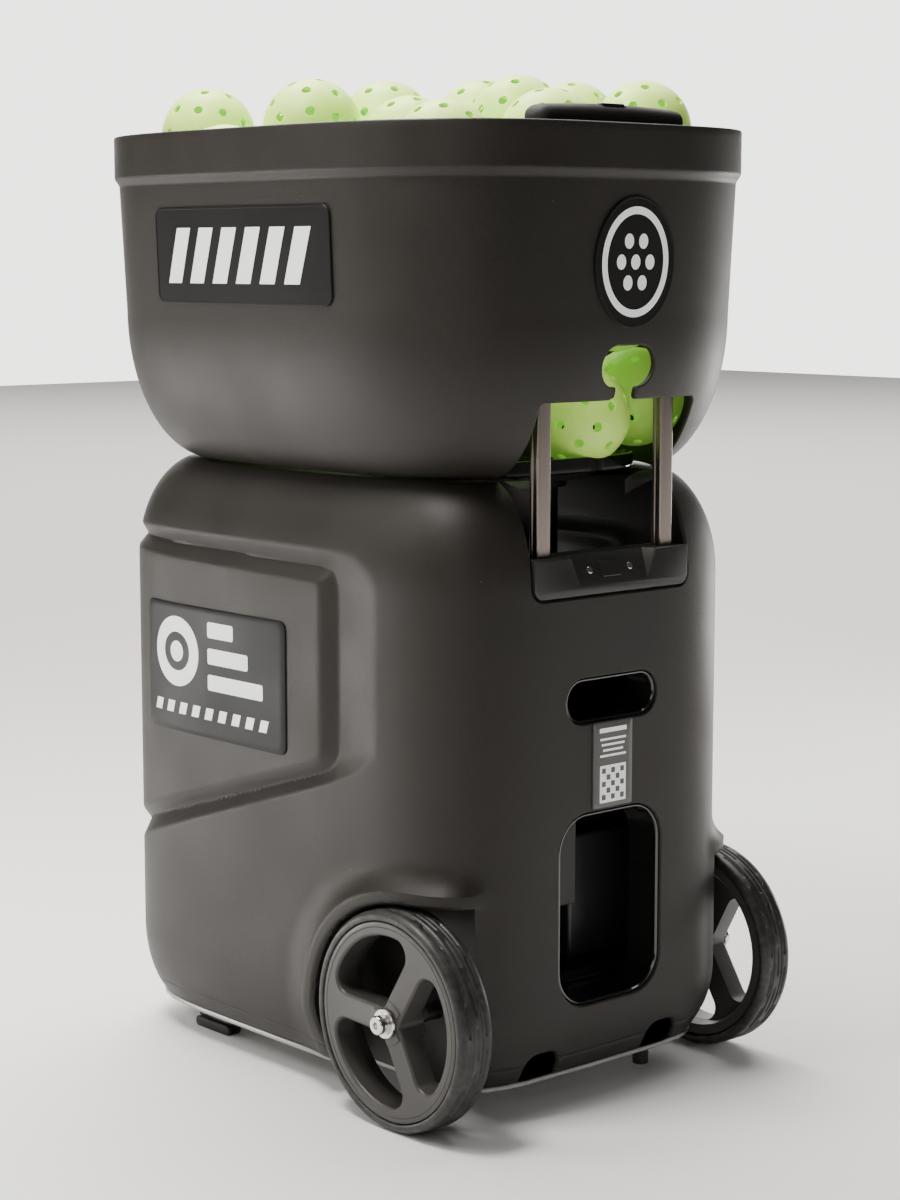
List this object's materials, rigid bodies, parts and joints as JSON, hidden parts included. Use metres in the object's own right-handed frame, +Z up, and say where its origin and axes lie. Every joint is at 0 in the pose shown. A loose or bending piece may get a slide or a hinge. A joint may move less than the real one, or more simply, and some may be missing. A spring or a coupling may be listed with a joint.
{
  "type": "ball throwing machine",
  "caption": "Wheeled ball throwing machine: loose oval hopper with a tow handle over a moulded body that holds a feed carousel, a chute and a swivelling, tilting launch head.",
  "frame": {"origin": "on the floor, under the middle of the bounding box", "axes": "+Z up, front with the ball exit towards -Y, tow handle and road wheels towards +Y, +X to the machine's left"},
  "size_m": [0.357, 0.47, 0.7126],
  "materials": {
    "shell_plastic": "fine pebble grain, slightly warm charcoal",
    "gloss_plastic": "black, high gloss",
    "satin_plastic": "black satin moulding",
    "rubber": "black, soft",
    "tyre": "black ribbed tyre",
    "rod_metal": "satin grey-brown anodised",
    "bright_steel": "bright zinc and nickel",
    "black_steel": "black powder coat",
    "plate_metal": "mill finish",
    "label_film": "satin black film with pale grey marks",
    "battery_wrap": "dark grey wrap"
  },
  "bodies": {
    "chassis": {"body_shell": "shell_plastic", "base_plate": "plate_metal", "rear_bumper": "rubber", "axle": "black_steel", "handle_bezel": "satin_plastic", "feed_tray": "gloss_plastic", "feed_gearmotor": "bright_steel", "feed_chute": "satin_plastic", "head_stand": "black_steel", "swivel_gearmotor": "bright_steel", "control_box": "shell_plastic", "battery": "battery_wrap", "battery_tray": "black_steel", "access_liner": "gloss_plastic", "slot_liner": "gloss_plastic", "guide_label": "label_film", "charge_socket": "bright_steel", "front_foot_left": "black_steel", "front_foot_right": "black_steel", "foot_pad_left": "rubber", "foot_pad_right": "rubber", "handle_tube_left": "black_steel", "handle_tube_right": "black_steel", "side_label_left": "label_film", "side_label_right": "label_film", "axle_washer_left": "bright_steel", "axle_washer_right": "bright_steel", "axle_bolt_left": "bright_steel", "axle_bolt_right": "bright_steel"},
    "hopper": {"hopper_shell": "shell_plastic", "rear_badge": "label_film", "nameplate_left": "label_film", "nameplate_right": "label_film"},
    "carousel": {"carousel": "satin_plastic", "carousel_shaft": "bright_steel"},
    "handle": {"grip": "rubber", "handle_rod_left": "rod_metal", "handle_rod_right": "rod_metal"},
    "grip_button": {"grip_button": "gloss_plastic"},
    "swivel_head": {"swivel_yoke": "black_steel", "tilt_gearmotor": "bright_steel"},
    "tilt_head": {"head_cradle": "black_steel", "tilt_shaft": "bright_steel", "motor_plate": "black_steel", "ball_guide": "satin_plastic", "launch_motor_left": "bright_steel", "launch_motor_right": "bright_steel"},
    "launch_wheel_left": {"launch_tread_left": "rubber", "launch_hub_left": "plate_metal"},
    "launch_wheel_right": {"launch_tread_right": "rubber", "launch_hub_right": "plate_metal"},
    "road_wheel_left": {"tyre_left": "tyre", "wheel_hub_left": "satin_plastic", "wheel_bush_left": "bright_steel"},
    "road_wheel_right": {"tyre_right": "tyre", "wheel_hub_right": "satin_plastic", "wheel_bush_right": "bright_steel"},
    "power_rocker": {"power_rocker": "gloss_plastic"},
    "charge_cap": {"charge_cap": "rubber"}
  },
  "joints": [
    {"name": "hopper_lift", "type": "slide", "parent": "chassis", "child": "hopper", "axis": [0, 0, 1], "range_m": [0, 0.35]},
    {"name": "carousel_spin", "type": "hinge", "parent": "chassis", "child": "carousel", "pos_m": [0, -0.00205, 0.46], "axis": [0, 0, 1], "continuous": true},
    {"name": "handle_slide", "type": "slide", "parent": "chassis", "child": "handle", "axis": [0, 0, 1], "range_m": [-0.29, 0]},
    {"name": "grip_button_press", "type": "slide", "parent": "handle", "child": "grip_button", "axis": [0, 0, -1], "range_m": [0, 0.004], "stiffness_N_per_m": 600, "springref_m": -0.002},
    {"name": "road_wheel_left_spin", "type": "hinge", "parent": "chassis", "child": "road_wheel_left", "pos_m": [0.153, 0.15635, 0.0787], "axis": [1, 0, 0], "continuous": true},
    {"name": "road_wheel_right_spin", "type": "hinge", "parent": "chassis", "child": "road_wheel_right", "pos_m": [-0.153, 0.15635, 0.0787], "axis": [1, 0, 0], "continuous": true},
    {"name": "head_swivel", "type": "hinge", "parent": "chassis", "child": "swivel_head", "pos_m": [0, -0.06205, 0.145], "axis": [0, 0, 1], "range_deg": [-12, 12]},
    {"name": "head_tilt", "type": "hinge", "parent": "swivel_head", "child": "tilt_head", "pos_m": [0, -0.06205, 0.178], "axis": [-1, 0, 0], "range_deg": [0, 25]},
    {"name": "launch_wheel_left_spin", "type": "hinge", "parent": "tilt_head", "child": "launch_wheel_left", "pos_m": [0.078, -0.06205, 0.25], "axis": [0, 0, 1], "continuous": true},
    {"name": "launch_wheel_right_spin", "type": "hinge", "parent": "tilt_head", "child": "launch_wheel_right", "pos_m": [-0.078, -0.06205, 0.25], "axis": [0, 0, 1], "continuous": true},
    {"name": "power_rocker_tilt", "type": "hinge", "parent": "chassis", "child": "power_rocker", "pos_m": [0.012, 0.16695, 0.178], "axis": [0, 0, 1], "range_deg": [-8, 8]},
    {"name": "charge_cap_swing", "type": "hinge", "parent": "chassis", "child": "charge_cap", "pos_m": [0.0092, 0.16695, 0.226], "axis": [0, 1, 0], "range_deg": [0, 100]}
  ]
}
